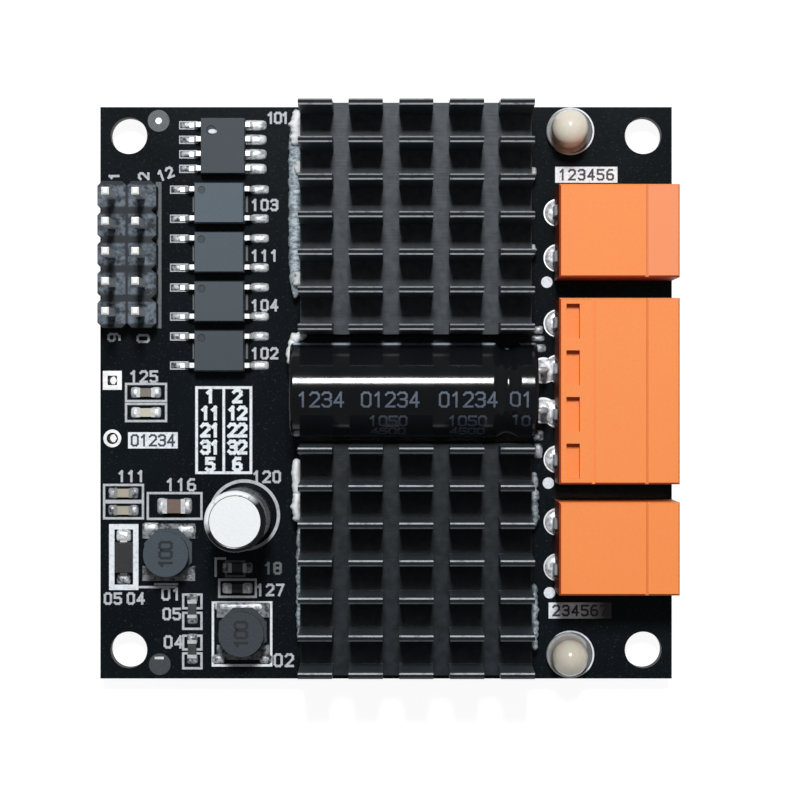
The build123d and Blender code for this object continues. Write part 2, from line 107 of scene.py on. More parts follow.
def together(*shapes):
    """Several shapes as one: the later ones' faces count on from the earlier ones' points."""
    points = np.concatenate([points for points, _ in shapes])
    starts = np.cumsum([0] + [len(points) for points, _ in shapes[:-1]])
    faces = [[i + int(start) for i in face] for start, (_, faces) in zip(starts, shapes) for face in faces]
    return points, faces


def once_round(columns):
    """Evenly spaced angles of a full turn."""
    return np.linspace(0, 2 * math.pi, columns, endpoint=False)


def between(row, above, columns):
    """Four-cornered faces between the closed rows that start at the points numbered row and above."""
    here = np.arange(columns)
    beside = (here + 1) % columns
    return np.stack([row + here, row + beside, above + beside, above + here], -1)


def closed_shells(rings, start, end):
    """Closed surfaces on a grid: row after row of rings, with a fan to one point at both ends.

    rings[piece, row, column] are points, and start[piece] and end[piece] are the end points.
    """
    count, rows, columns, _ = rings.shape
    size = rows * columns + 2
    points = np.concatenate([rings.reshape(count, -1, 3), start[:, None], end[:, None]], 1)
    base = (np.arange(count) * size)[:, None, None]
    row = np.arange(rows - 1)[:, None] * columns
    walls = between(row, row + columns, columns).reshape(1, -1, 4) + base
    (here, beside), last = between(0, 0, columns)[:, :2].T, (rows - 1) * columns
    low_fan = np.stack([beside, here, np.full(columns, size - 2)], -1)
    high_fan = np.stack([last + here, last + beside, np.full(columns, size - 1)], -1)
    fans = np.concatenate([low_fan, high_fan])[None] + base
    return points.reshape(-1, 3), walls.reshape(-1, 4).tolist() + fans.reshape(-1, 3).tolist()


def turned(profile, sites, columns=48, lying=False):
    """Round forms: each profile point (r, h) goes once round an axis, so that
    x = site x + r cos a, y = site y + r sin a, z = site z + h. Lying forms have their axis along X.
    Sites of two coordinates are at the height 0."""
    profile, sites = np.array(profile, float), np.array(sites, float)
    sites = np.pad(sites, ((0, 0), (0, 3 - sites.shape[1])))
    angle = once_round(columns)
    radius, height = profile[1:-1, 0, None], profile[1:-1, 1, None]
    ring = np.stack([radius * np.cos(angle), radius * np.sin(angle), height + 0 * angle], -1)
    ends = [np.array([[0, 0, profile[i, 1]]]) for i in (0, -1)]
    if lying:
        ring, ends = ring[..., [2, 0, 1]], [end[..., [2, 0, 1]] for end in ends]
    rings = ring[None] + sites[:, None, None]
    return closed_shells(rings, ends[0] + sites, ends[1] + sites)


def mounds(sites, sizes, heights, rows=7, columns=24):
    """Solder mounds: the ring of share s is a rounded rectangle |x/a|^4 + |y/b|^4 = s^4, raised by
    h (1 - s^3)."""
    sites, sizes = np.array(sites, float), np.array(sizes, float)
    heights = np.array(heights, float)
    angle = once_round(columns)
    wave = np.stack([np.cos(angle), np.sin(angle)], -1)
    outline = np.sign(wave) * np.abs(wave) ** 0.5
    share = np.linspace(1, 0.12, rows)
    flat = sites[:, None, None] + share[:, None, None] * outline[None] * sizes[:, None, None] / 2
    rise = BOARD_TOP + heights[:, None, None] * (1 - share[:, None] ** 3) + 0 * angle
    foot = np.concatenate([flat[:, :1], 0 * rise[:, :1, :, None] + BOARD_TOP - 0.02], -1)
    rings = np.concatenate([foot, np.concatenate([flat, rise[..., None]], -1)], 1)
    low = np.column_stack([sites, np.full(len(sites), BOARD_TOP - 0.02)])
    high = np.column_stack([sites, BOARD_TOP + heights])
    return closed_shells(rings, low, high)


def wires(path, sides, radius, columns=20):
    """Round wires in upright planes: circles square to a path (x, z), repeated at each side place y."""
    path = np.array(path, float)
    along = np.gradient(path, axis=0)
    along /= np.linalg.norm(along, axis=1)[:, None]
    across = np.stack([-along[:, 1], 0 * along[:, 0], along[:, 0]], -1)
    angle = once_round(columns)[None, :, None]
    centre = np.stack([path[:, 0], 0 * path[:, 0], path[:, 1]], -1)
    circle = np.cos(angle) * np.array([0, 1.0, 0]) + np.sin(angle) * across[:, None]
    ring = centre[:, None] + radius * circle
    shift = np.array([[0, y, 0] for y in sides], float)
    return closed_shells(ring[None] + shift[:, None, None], centre[0] + shift, centre[-1] + shift)


def boxes(corners, low, high):
    """Upright boxes over four corners each. Neighbours' tops differ by a hair, so that none that cross lie in
    one plane."""
    count = len(corners)
    stagger = (np.arange(count) % 11 * 0.001)[:, None, None] + np.zeros((count, 4, 1))
    points = np.concatenate([np.concatenate([corners, level + stagger], -1) for level in (low, high)], 1)
    box = np.array([[0, 3, 2, 1], [4, 5, 6, 7], [0, 1, 5, 4], [1, 2, 6, 5], [2, 3, 7, 6], [3, 0, 4, 7]])
    faces = (box[None] + (np.arange(count) * 8)[:, None, None]).reshape(-1, 4)
    return points.reshape(-1, 3), faces.tolist()


def bars(strokes, width, low, high):
    """Flat bars: each stroke (x1, y1, x2, y2) becomes a box, lengthened by half its width at both ends."""
    strokes = np.array(strokes, float)
    start, end = strokes[:, :2], strokes[:, 2:]
    unit = end - start
    unit = unit / np.maximum(np.linalg.norm(unit, axis=1), 1e-9)[:, None]
    side = np.stack([-unit[:, 1], unit[:, 0]], -1) * width / 2
    start, end = start - unit * width / 2, end + unit * width / 2
    return boxes(np.stack([start - side, end - side, end + side, start + side], 1), low, high)


def plates(sites, sizes, low, high):
    """Flat rectangles: the corners lie half a size from each site."""
    corner = np.array([[-1, -1], [1, -1], [1, 1], [-1, 1]]) / 2
    return boxes(np.array(sites, float)[:, None] + corner * np.array(sizes, float)[:, None], low, high)


def washers(sites, inner, outer, low, high, columns=40):
    """Flat rings: a four-cornered section goes once round each site."""
    sites = np.array(sites, float)
    inner, outer = (np.broadcast_to(np.array(r, float), len(sites)) for r in (inner, outer))
    angle = once_round(columns)
    radius = np.stack([outer, outer, inner, inner], 1)[:, :, None]
    level = np.array([low, high, high, low])[None, :, None] + 0 * radius * angle
    flat = [sites[:, i, None, None] + radius * wave for i, wave in ((0, np.cos(angle)), (1, np.sin(angle)))]
    points = np.stack([*flat, level], -1).reshape(-1, 3)
    row = np.arange(4)[:, None]
    faces = between(row * columns, (row + 1) % 4 * columns, columns).reshape(1, -1, 4)
    faces = faces + (np.arange(len(sites)) * 4 * columns)[:, None, None]
    return points, faces.reshape(-1, 4).tolist()


def discs(sites, radius, low, high, columns=32):
    """Flat discs: the profile (0, low), (r, low), (r, high), (0, high) goes once round each site."""
    return turned([(0, low), (radius, low), (radius, high), (0, high)], sites, columns)


def smears(runs, unrest=1.0, rows=120, columns=14):
    """Uneven beads: an ellipse goes along each run (x1, y1, z1, x2, y2, z2, half width, half height).

    At d millimetres along and unrest u, its half width grows by 1 + u (0.12 sin 6.1 d + 0.1 sin 11.3 d), it
    sways by 0.15 u sin 3.7 d half widths, and both ends close by the root of 1 - |2 share - 1|^5.
    """
    runs = np.array(runs, float)
    start, end = runs[:, None, None, 0:3], runs[:, None, None, 3:6]
    share = np.linspace(0.002, 0.998, rows)[None, :, None]
    length = np.linalg.norm(end - start, axis=-1)
    d = share * length + (np.arange(len(runs)) * 1.7)[:, None, None]
    swell = 1 + unrest * (0.12 * np.sin(6.1 * d) + 0.1 * np.sin(11.3 * d))
    closing = np.sqrt(1 - np.abs(2 * share - 1) ** 5)
    half_width, half_height = runs[:, None, None, 6] * swell * closing, runs[:, None, None, 7] * closing
    along = (end - start)[..., :2] / np.maximum(length, 1e-9)[..., None]
    side = np.stack([-along[..., 1], along[..., 0]], -1)
    angle = -once_round(columns)[None, None]
    reach = half_width * np.cos(angle) + 0.15 * unrest * runs[:, None, None, 6] * np.sin(3.7 * d)
    centre = start + (end - start) * share[..., None]
    flat = centre[..., :2] + reach[..., None] * side
    rings = np.concatenate([flat, (centre[..., 2] + half_height * np.sin(angle))[..., None]], -1)
    return closed_shells(rings, rings[:, 0].mean(1), rings[:, -1].mean(1))


def frame_lines(x, y, across, up):
    """The four strokes of a rectangle's outline."""
    left, right, low, high = x - across / 2, x + across / 2, y - up / 2, y + up / 2
    corners = [(left, low), (right, low), (right, high), (left, high)]
    return [[*corner, *following] for corner, following in zip(corners, corners[1:] + corners[:1])]


NUMERALS = {
    "0": [[(.15, 0), (.45, 0), (.6, .15), (.6, .85), (.45, 1), (.15, 1), (0, .85), (0, .15), (.15, 0)]],
    "1": [[(.1, .8), (.32, 1), (.32, 0)]],
    "2": [[(0, .85), (.15, 1), (.45, 1), (.6, .85), (.6, .62), (0, 0), (.6, 0)]],
    "3": [[(0, .87), (.15, 1), (.45, 1), (.6, .87), (.6, .65), (.45, .53), (.2, .53)],
          [(.45, .53), (.6, .4), (.6, .15), (.45, 0), (.15, 0), (0, .13)]],
    "4": [[(.45, 0), (.45, 1), (0, .3), (.6, .3)]],
    "5": [[(.6, 1), (0, 1), (0, .58), (.42, .58), (.6, .44), (.6, .14), (.45, 0), (.12, 0), (0, .1)]],
    "6": [[(.5, 1), (.2, 1), (0, .75), (0, .15), (.15, 0), (.45, 0), (.6, .15), (.6, .42), (.45, .55),
           (0, .55)]],
    "7": [[(0, 1), (.6, 1), (.2, 0)]],
    "8": [[(.15, .53), (.45, .53), (.6, .65), (.6, .88), (.45, 1), (.15, 1), (0, .88), (0, .65), (.15, .53)],
          [(.15, .53), (0, .4), (0, .13), (.15, 0), (.45, 0), (.6, .13), (.6, .4), (.45, .53)]],
    "9": [[(.1, 0), (.4, 0), (.6, .25), (.6, .85), (.45, 1), (.15, 1), (0, .85), (0, .6), (.15, .45),
           (.6, .45)]],
    " ": [],
}


def number(text, x, y, height, turn=0.0, pitch=0.9):
    """Strokes of a plain number centred on (x, y) and turned by so many degrees."""
    strokes = []
    for place, sign in enumerate(text):
        shift = (place - (len(text) - 1) / 2) * pitch - 0.3
        for line in NUMERALS[sign]:
            line = np.array(line) + [shift, -0.5]
            strokes.append(np.concatenate([line[:-1], line[1:]], 1))
    strokes = np.concatenate(strokes) * height
    c, s = math.cos(math.radians(turn)), math.sin(math.radians(turn))
    spin = np.array([[c, s], [-s, c]])
    return np.concatenate([strokes[:, :2] @ spin, strokes[:, 2:] @ spin], 1) + [x, y, x, y]


# Finishes

def times(colour, factor):
    """A colour times one factor, or times one for each of red, green and blue."""
    return tuple(np.array(tuple(colour)) * factor)


class Value:
    """A socket of a node tree that sums, products and powers are written with."""

    def __init__(self, nodes, socket):
        self.nodes, self.socket = nodes, socket

    def sum(self, operation, *values, clamp=False):
        settings = {"operation": operation, "use_clamp": clamp}
        return self.nodes.node("ShaderNodeMath", settings, dict(enumerate(values)))

    def __add__(self, other):
        return self.sum("ADD", self, other)

    def __sub__(self, other):
        return self.sum("SUBTRACT", self, other)

    def __rsub__(self, other):
        return self.sum("SUBTRACT", other, self)

    def __mul__(self, other):
        return self.sum("MULTIPLY", self, other)

    def __pow__(self, other):
        return self.sum("POWER", self, other)

    def of(self, operation):
        """A function of the value, such as SINE."""
        return self.sum(operation, self)

    def __abs__(self):
        return self.of("ABSOLUTE")

    __radd__, __rmul__ = __add__, __mul__

    def above(self, edge, soft):
        """1 where the value is over an edge and 0 under it, over a soft width."""
        return self.sum("MULTIPLY_ADD", self, 1 / soft, 0.5 - edge / soft, clamp=True)

    def under(self, edge, soft):
        """1 where the value is under an edge and 0 over it, over a soft width."""
        return self.sum("MULTIPLY_ADD", self, -1 / soft, 0.5 + edge / soft, clamp=True)


class Nodes:
    """A node tree that is filled by one method."""

    def __init__(self, tree):
        self.tree = tree
        tree.nodes.clear()

    def node(self, kind, settings=(), inputs=(), output=0):
        """A node of one kind. Its settings are set first, then its sockets get values or links."""
        made = self.tree.nodes.new(kind)
        for key, value in dict(settings).items():
            setattr(made, key, value)
        for key, value in dict(inputs).items():
            if isinstance(value, Value):
                self.tree.links.new(value.socket, made.inputs[key])
            else:
                made.inputs[key].default_value = value
        return Value(self, made.outputs[output]) if len(made.outputs) else None

    def mix(self, factor, low, high):
        """One colour where the factor is 0 and another where it is 1."""
        low, high = (c if isinstance(c, Value) else (*c, 1.0)[:4] for c in (low, high))
        return self.node("ShaderNodeMix", {"data_type": "RGBA"}, {0: factor, 6: low, 7: high}, 2)


class Finish(Nodes):
    """A material with its patterns laid out in millimetres on the module."""

    def __init__(self, name):
        self.material = bpy.data.materials.new(name)
        self.material.use_nodes = True
        super().__init__(self.material.node_tree)
        place = self.node("ShaderNodeTexCoord", output="Object")
        self.place = self.node("ShaderNodeVectorMath", {"operation": "SCALE"}, {0: place, "Scale": 1000.0})
        self.x, self.y, self.z = (
            self.node("ShaderNodeSeparateXYZ", (), {0: self.place}, axis) for axis in range(3))

    def noise(self, size, detail=2.0, stretch=(1, 1, 1), roughness=0.5):
        """Smooth noise whose blotches are about so many millimetres wide."""
        scale = tuple(1 / (size * s) for s in stretch)
        spot = self.node("ShaderNodeVectorMath", {"operation": "MULTIPLY"}, {0: self.place, 1: scale})
        sockets = {"Vector": spot, "Scale": 1.0, "Detail": detail, "Roughness": roughness}
        return self.node("ShaderNodeTexNoise", (), sockets)

    def shades(self, factor, colour, low, high=1.0):
        """A colour times low where the factor is 0 and times high where it is 1."""
        return self.mix(factor, times(colour, low), times(colour, high))

    def facing(self, axis):
        """How far the surface faces along X, Y or Z (0, 1 or 2), from 1 to -1."""
        normal = self.node("ShaderNodeNewGeometry", output="Normal")
        return self.node("ShaderNodeSeparateXYZ", (), {0: normal}, axis)

    def from_axis(self, x, y):
        """Distance from an upright axis, in millimetres."""
        return ((self.x - x) ** 2 + (self.y - y) ** 2) ** 0.5

    def shade(self, base, roughness=0.5, height=None, depth=0.02, gloss=0.5, **constants):
        """The surface itself. height is a pattern from 0 to 1 whose relief is depth millimetres high."""
        colour = base if isinstance(base, Value) else (*base, 1.0)[:4]
        sockets = {"Base Color": colour, "Roughness": roughness, "Specular IOR Level": gloss}
        sockets.update({key.replace("_", " "): value for key, value in constants.items()})
        if height is not None:
            relief = {"Height": height, "Distance": depth / 1000, "Strength": 1.0}
            sockets["Normal"] = self.node("ShaderNodeBump", (), relief)
        surface = self.node("ShaderNodeBsdfPrincipled", (), sockets)
        self.node("ShaderNodeOutputMaterial", (), {"Surface": surface})
        return self.material


def dress(finish, *nodes):
    """Puts one material on solids of the frame."""
    for name in nodes:
        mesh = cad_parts[name].data
        mesh.materials.clear()
        mesh.materials.append(finish)


def tin():
    """Tinned metal with a soft, slightly uneven shine, made once."""
    if "tinned_metal" in bpy.data.materials:
        return bpy.data.materials["tinned_metal"]
    f = Finish("tinned_metal")
    tone = f.noise(0.7, 3)
    return f.shade(
        f.mix(tone, (0.62, 0.64, 0.66), (0.9, 0.91, 0.92)), 0.34 + tone * 0.14,
        f.noise(0.35, 2), 0.01, Metallic=0.55,
    )


def solder(name, dull=(0.46, 0.5, 0.54), bright=(0.95, 0.97, 0.99)):
    """Solder that has run and set: bright, with dull and dimpled patches."""
    f = Finish(name)
    tone = f.noise(0.4, 4)
    return f.shade(
        f.mix(tone.above(0.46, 0.16), dull, bright), 0.36 + tone * 0.2,
        f.noise(0.3, 3), 0.06, Metallic=0.4,
    )


def print_ink(name, colour, painted_shadow=None):
    """Ink on the board and the parts: flat, a little worn. The optional mask, from 0 to 1, tells where a
    shadow is painted on it.
    """
    f = Finish(name)
    wear = f.noise(0.25, 3).above(0.38, 0.3)
    tone = f.shades(wear, colour, 0.68)
    if painted_shadow:
        # Painted shadow: the ink darkens to 0.07 of its colour under the mask.
        tone = f.mix(painted_shadow(f), tone, times(colour, 0.07))
    return f.shade(tone, 0.6, gloss=0.3)


# What a user may change

def swatch(name, description, *default):
    """A colour that a user may change."""
    return FloatVectorProperty(
        name=name, description=description, default=default, subtype="COLOR", size=3, min=0, max=1)


class DriverBoard(PropertyGroup):
    mask_colour: swatch("Mask", "Colour of the board's lacquer", 0.0045, 0.0072, 0.0094)
    ink_colour: swatch("Ink", "Colour of the printed marks", 0.84, 0.89, 0.95)
    ink_width: FloatProperty(
        name="Line", description="Width of a printed line, in millimetres", default=0.21, min=0.05, max=1)
    ink_height: FloatProperty(
        name="Thickness", description="Thickness of the ink, in millimetres",
        default=0.02, min=0.005, max=0.1)


class DriverHeatsinks(PropertyGroup):
    anodised_colour: swatch("Anodising", "Colour of the heatsinks", 0.0165, 0.021, 0.0255)
    adhesive_colour: swatch("Adhesive", "Colour of the squeezed-out adhesive", 0.86, 0.88, 0.9)


class DriverCapacitors(PropertyGroup):
    sleeve_colour: swatch("Sleeve", "Colour of the shrunk sleeves", 0.006, 0.0065, 0.008)
    print_colour: swatch("Print", "Colour of the numbers on the large sleeve", 0.16, 0.2, 0.27)


class DriverSockets(PropertyGroup):
    shroud_colour: swatch("Shroud", "Colour of the plug headers", 0.95, 0.285, 0.07)


class DriverStage(PropertyGroup):
    key_power: FloatProperty(
        name="Key lamp", description="Power of the lamp above the module", unit="POWER", default=2.2, min=0)
    fill_level: FloatProperty(
        name="Fill", description="Brightness of the surroundings at the horizon", default=0.42, min=0)
    view_width: FloatProperty(
        name="View width", description="Width that the camera sees at the board's top", subtype="DISTANCE",
        unit="LENGTH", default=0.07, min=0.01)
    camera_distance: FloatProperty(
        name="Camera", description="Distance from the camera to the board's top", subtype="DISTANCE",
        unit="LENGTH", default=0.25, min=0.05)


class DriverModule(PropertyGroup):
    board: PointerProperty(type=DriverBoard, name="Board", description="The board's colours and print")
    heatsinks: PointerProperty(type=DriverHeatsinks, name="Heatsinks", description="The heatsinks' colours")
    capacitors: PointerProperty(
        type=DriverCapacitors, name="Capacitors", description="The capacitors' colours")
    sockets: PointerProperty(type=DriverSockets, name="Sockets", description="The plug headers' colour")
    stage: PointerProperty(type=DriverStage, name="Stage", description="Camera and lamps")


# Makers

class DRIVER_OT_board(Operator):
    """Finish the board and print its outlines and numbers"""
    bl_idname = "driver.board"
    bl_label = "Board and print"

    def execute(self, context):
        look = context.scene.driver.board
        mask = look.mask_colour
        f = Finish("black_solder_mask")
        cloud = f.noise(6.0, 3)
        specks = f.noise(0.14, 1).above(0.7, 0.06)
        wall = abs(f.facing(2)).under(0.5, 0.1)
        face = f.shades(cloud, mask, 0.72, 1.4)
        face = f.mix(specks * 0.5, face, (0.05, 0.058, 0.065))
        finish = f.shade(
            f.mix(wall, face, (0.02, 0.019, 0.017)), 0.13 + cloud * 0.06 + wall * 0.4,
            f.noise(0.5, 3) * 0.5 + f.noise(3.0) * 0.5, 0.012, gloss=0.16,
        )
        dress(finish, "circuit_board")

        low, high = BOARD_TOP - 0.01, BOARD_TOP + look.ink_height
        # The mask paints the lower socket's shadow onto the +X end of the label beside it.
        ink = print_ink(
            "white_print", look.ink_colour,
            lambda f: f.x.above(17.9, 2.6) * f.y.under(-17.0, 0.5) * f.y.above(-20.2, 0.2),
        )
        thin = [
            *frame_lines(-21.0, 0.03, 3.5, 1.5), *frame_lines(-21.0, -1.72, 3.5, 1.5),
            *frame_lines(-22.97, -8.76, 3.4, 1.4), *frame_lines(-22.97, -10.28, 3.4, 1.4),
            *frame_lines(-18.5, -9.9, 4.7, 2.25),
            *frame_lines(-13.0, -17.1, 3.2, 1.5), [-14.9, -14.5, -14.1, -14.5], [-14.9, -14.5, -14.9, -16.0],
            *frame_lines(-16.95, -18.25, 1.6, 1.2), *frame_lines(-16.95, -19.95, 1.6, 1.4),
            *frame_lines(-16.95, -21.85, 1.6, 1.2), *frame_lines(-16.95, -23.45, 1.6, 1.3),
            [-21.6, -17.0, -18.4, -17.0], [-20.2, -16.75, -18.3, -16.75],
        ]
        marks = [
            ("1", -23.8, 18.95, 0.75, 90), ("2", -21.2, 18.95, 0.8, 90), ("12", -19.3, 19.15, 0.8, 20),
            ("9", -23.8, 4.85, 0.95, 90), ("0", -21.25, 4.75, 0.95, 90),
            ("103", -10.63, 16.43, 0.86, 0), ("111", -10.63, 12.0, 0.86, 0),
            ("104", -10.63, 7.65, 0.86, 0), ("102", -10.63, 3.45, 0.86, 0),
            ("125", -21.2, 1.42, 0.9, 0), ("111", -22.3, -7.3, 0.85, 0), ("116", -17.95, -8.05, 0.95, 0),
            ("120", -10.45, -7.35, 0.9, 0), ("05", -23.9, -18.0, 0.88, 0), ("04", -21.9, -18.0, 0.88, 0),
            ("01", -18.8, -17.6, 0.95, 0), ("02", -8.95, -23.4, 1.0, 0), ("127", -10.15, -17.25, 0.9, 0),
            ("05", -18.75, -19.35, 0.9, 0), ("04", -18.6, -21.8, 0.95, 0),
        ]
        figures = [number(*mark, pitch=0.98) for mark in marks]
        figures.append(number("101", -9.45, 24.05, 0.86, pitch=0.75))
        lands = []
        for name in PACKAGES:
            corner, _, rows = lead_rows(name)
            for y in rows:
                lands += frame_lines(corner[0] - 0.1, y, 1.5, 0.62)
        x, y, wide, tall = -14.2, -3.27, 4.75, 7.45
        table = [*frame_lines(x, y, wide, tall), [x, y - tall / 2, x, y + tall / 2]]
        rows = [("1", "2"), ("11", "12"), ("21", "22"), ("31", "32"), ("5", "6")]
        entries = [
            number(text, x + side * wide / 4, y + tall * (0.4 - row / 5), 1.0, pitch=0.85)
            for row, texts in enumerate(rows) for side, text in zip((-1, 1), texts)
        ]
        rings = [(-12.4, -10.7), (16.13, 22.89), (16.13, -22.89), (-19.9, 23.8), (-19.8, -23.75)]
        flat_piece("grey_marks", [
            bars(np.concatenate([thin, *figures]), look.ink_width * 0.95, low, high),
            bars(lands, 0.1, low, high),
            washers(rings[:1], 2.85, 3.13, low, high, 64),
        ], print_ink("grey_print", times(look.ink_colour, 0.62)))
        dots = [(14.07, 9.68), (14.2, -7.9), (14.3, -17.5)]
        labels = [(-20.4, -4.16), (17.52, 19.08), (16.97, -19.05)]
        label_sizes = [(4.35, 1.42), (5.45, 1.4), (5.5, 1.4)]
        flat_piece("printed_marks", [
            bars(frame_lines(-12.6, -21.1, 5.1, 5.5), look.ink_width, low, high),
            bars(table, 0.24, low, high),
            bars(np.concatenate(entries), 0.29, low, high),
            bars(frame_lines(-22.95, -14.37, 2.1, 5.3), 0.47, low, high),
            discs(dots, 0.5, low, high, 24),
            washers(rings[1:3], 1.94, 2.08, low, high, 64),
            plates(labels, label_sizes, low, high),
        ], ink)
        sides = [
            [x + side * 2.32, y - 0.6, x + side * 2.32, y + 0.6]
            for x, y, _ in (middle(f"{body}_body") for body in PACKAGES[1:]) for side in (-1, 1)
        ]
        # Painted shade: the number 18 and the frame beside it lie in the small capacitor's shadow and are
        # printed in the faint colour.
        dim = np.concatenate([number("18", -9.9, -15.35, 0.9), frame_lines(-13.2, -15.4, 1.6, 1.3), sides])
        flat_piece("faint_marks", [
            bars(dim, 0.2, low, high),
            discs(rings[3:4], 0.95, low, high),
            discs(rings[1:3], 1.9, low, high, 64),
            bars([[-19.9, 5.9, -19.9, 18.2]], 0.5, low, high),
        ], print_ink("faint_print", (0.13, 0.145, 0.155)))
        on_labels = np.concatenate([
            number("01234", -20.4, -4.16, 0.9, pitch=0.88), number("123456", 17.52, 19.08, 0.85, pitch=0.98),
            number("234567", 16.97, -19.05, 0.85, pitch=0.98),
        ])
        flat_piece("dark_marks", [
            bars(on_labels, 0.17, high - 0.005, high + 0.015),
            discs(rings[4:], 0.95, low, high),
        ], print_ink("dark_print", (0.055, 0.062, 0.07)))
        return {"FINISHED"}


class DRIVER_OT_heatsinks(Operator):
    """Finish the heatsinks and transistors and add the squeezed-out adhesive"""
    bl_idname = "driver.heatsinks"
    bl_label = "Heatsinks and adhesive"

    def execute(self, context):
        look = context.scene.driver.heatsinks
        black, pin_height = look.anodised_colour, 5.9
        # Strength of the painted highlight on the pins' edges towards +Y and away from it, brightness of the
        # painted light on the channel floors, and gloss.
        for name, towards, away, floor_light, gloss in (
            ("upper", 0.3, 0.75, 2.2, 0.23), ("lower", 0.6, 0.1, 0.95, 0.19),
        ):
            low, high = extent(f"heatsink_{name}")
            f = Finish(f"black_anodised_aluminium_{name}")
            streaks = f.noise(0.12, 2, (30, 1, 1))
            dust = f.noise(1.6, 4)
            tip = f.z.above(high[2] - 0.03, 0.02)
            edge = f.z.above(high[2] - 0.2, 0.04) * (1 - tip)
            slope = f.facing(1)
            # Painted highlight: pale lines along the pins' tip edges, stronger on the side that catches the
            # light in each heatsink.
            worn = edge * (slope.above(0.4, 0.2) * towards + slope.under(-0.4, 0.2) * away)
            floor = f.z.under(high[2] - pin_height, 0.05) * f.facing(2).above(0.8, 0.1)
            # Painted highlight: a fainter pale line at the roots of the pins' +Y faces.
            worn += f.z.under(high[2] - pin_height + 0.1, 0.1) * slope.above(0.4, 0.2) * (1 - away) * 0.5
            face = f.shades(dust, black, 2.1, 4.0)
            # Painted light: the channel floors between the pins are lightened, by far more in the upper
            # heatsink; the mottling is their own.
            lit_floor = f.shades(f.noise(0.8, 4).above(0.5, 0.3), black, 0.75 * floor_light, 1.3 * floor_light)
            face = f.mix(floor, face, lit_floor)
            # Painted shade: the pins' flat tips are darkened almost to black.
            face = f.mix(tip * 0.75, face, (0.0035, 0.004, 0.005))
            # The painted highlights turn pale in patches.
            finish = f.shade(
                f.mix(worn * f.noise(0.5, 3).above(0.32, 0.3), face, (0.72, 0.76, 0.78)),
                (0.3 + dust * 0.14) * (1 - tip * 0.65), streaks * 0.6 + f.noise(0.2, 2) * 0.4, 0.008,
                gloss=gloss,
            )
            dress(finish, f"heatsink_{name}")

        f = Finish("dark_moulded_package")
        dress(
            f.shade((0.02, 0.02, 0.021), 0.6 + f.noise(0.5) * 0.1, f.noise(0.12), 0.01),
            *[f"power_transistor_{i}" for i in range(1, 9)],
        )

        f = Finish("white_thermal_adhesive")
        pale = look.adhesive_colour
        # Painted shade and light: below 4.02 mm the white adhesive is darkened in streaky blotches, and above
        # it keeps its pale colour as if lit.
        blotch = f.noise(0.55, 5, (1.4, 0.5, 1), 0.7).above(0.49, 0.2)
        lit_high_spots = f.z.above(4.02, 0.2)
        tone = f.shades(blotch, pale, (0.14, 0.18, 0.21), (0.62, 0.7, 0.75))
        silicone = f.shade(f.mix(lit_high_spots, tone, pale), 0.5, f.noise(0.3, 5), 0.1, gloss=0.4)
        for name, runs in (
            ("upper", [
                (-7.85, 24.7, 3.1, -7.85, 8.2, 3.1, 0.62, 0.85),
                (-7.65, 24.5, 3.9, -7.75, 21.4, 3.9, 0.6, 0.8),
                (-7.5, 20.1, 3.9, -7.5, 18.9, 3.9, 0.44, 0.75),
                (-7.55, 10.5, 3.9, -7.55, 9.2, 3.9, 0.44, 0.75),
                (12.7, 19.6, 3.4, 12.75, 18.7, 3.4, 0.3, 1.1),
                (12.7, 12.9, 3.4, 12.75, 12.2, 3.4, 0.3, 1.1),
                (-6.9, 5.2, 4.7, -8.2, 4.5, 4.8, 0.42, 0.6),
                (-8.1, 4.8, 4.8, -8.4, 2.5, 4.6, 0.3, 0.5),
            ]),
            ("lower", [
                (-7.75, -5.7, 3.9, -7.7, -8.9, 3.9, 0.44, 0.8),
                (-7.75, -8.6, 3.9, -7.7, -11.2, 3.9, 0.44, 0.8),
                (-7.55, -11.4, 3.1, -7.55, -21.6, 3.1, 0.25, 0.7),
                (12.85, -6.9, 3.0, 12.9, -11.8, 3.0, 0.4, 0.75),
                (12.85, -16.6, 3.1, 12.9, -22.4, 3.1, 0.36, 0.85),
            ]),
        ):
            low, high = extent(f"heatsink_{name}")
            centre = (low + high) / 2
            layer = plates([centre[:2]], [(19.0, 19.0)], low[2] - 0.3, low[2] + 0.02)
            shape = together(layer, smears(runs[:1], 0.35), smears(runs[1:]))
            piece(f"adhesive_{name}", shape, silicone, [f"thermal_adhesive_{name}"])
        return {"FINISHED"}


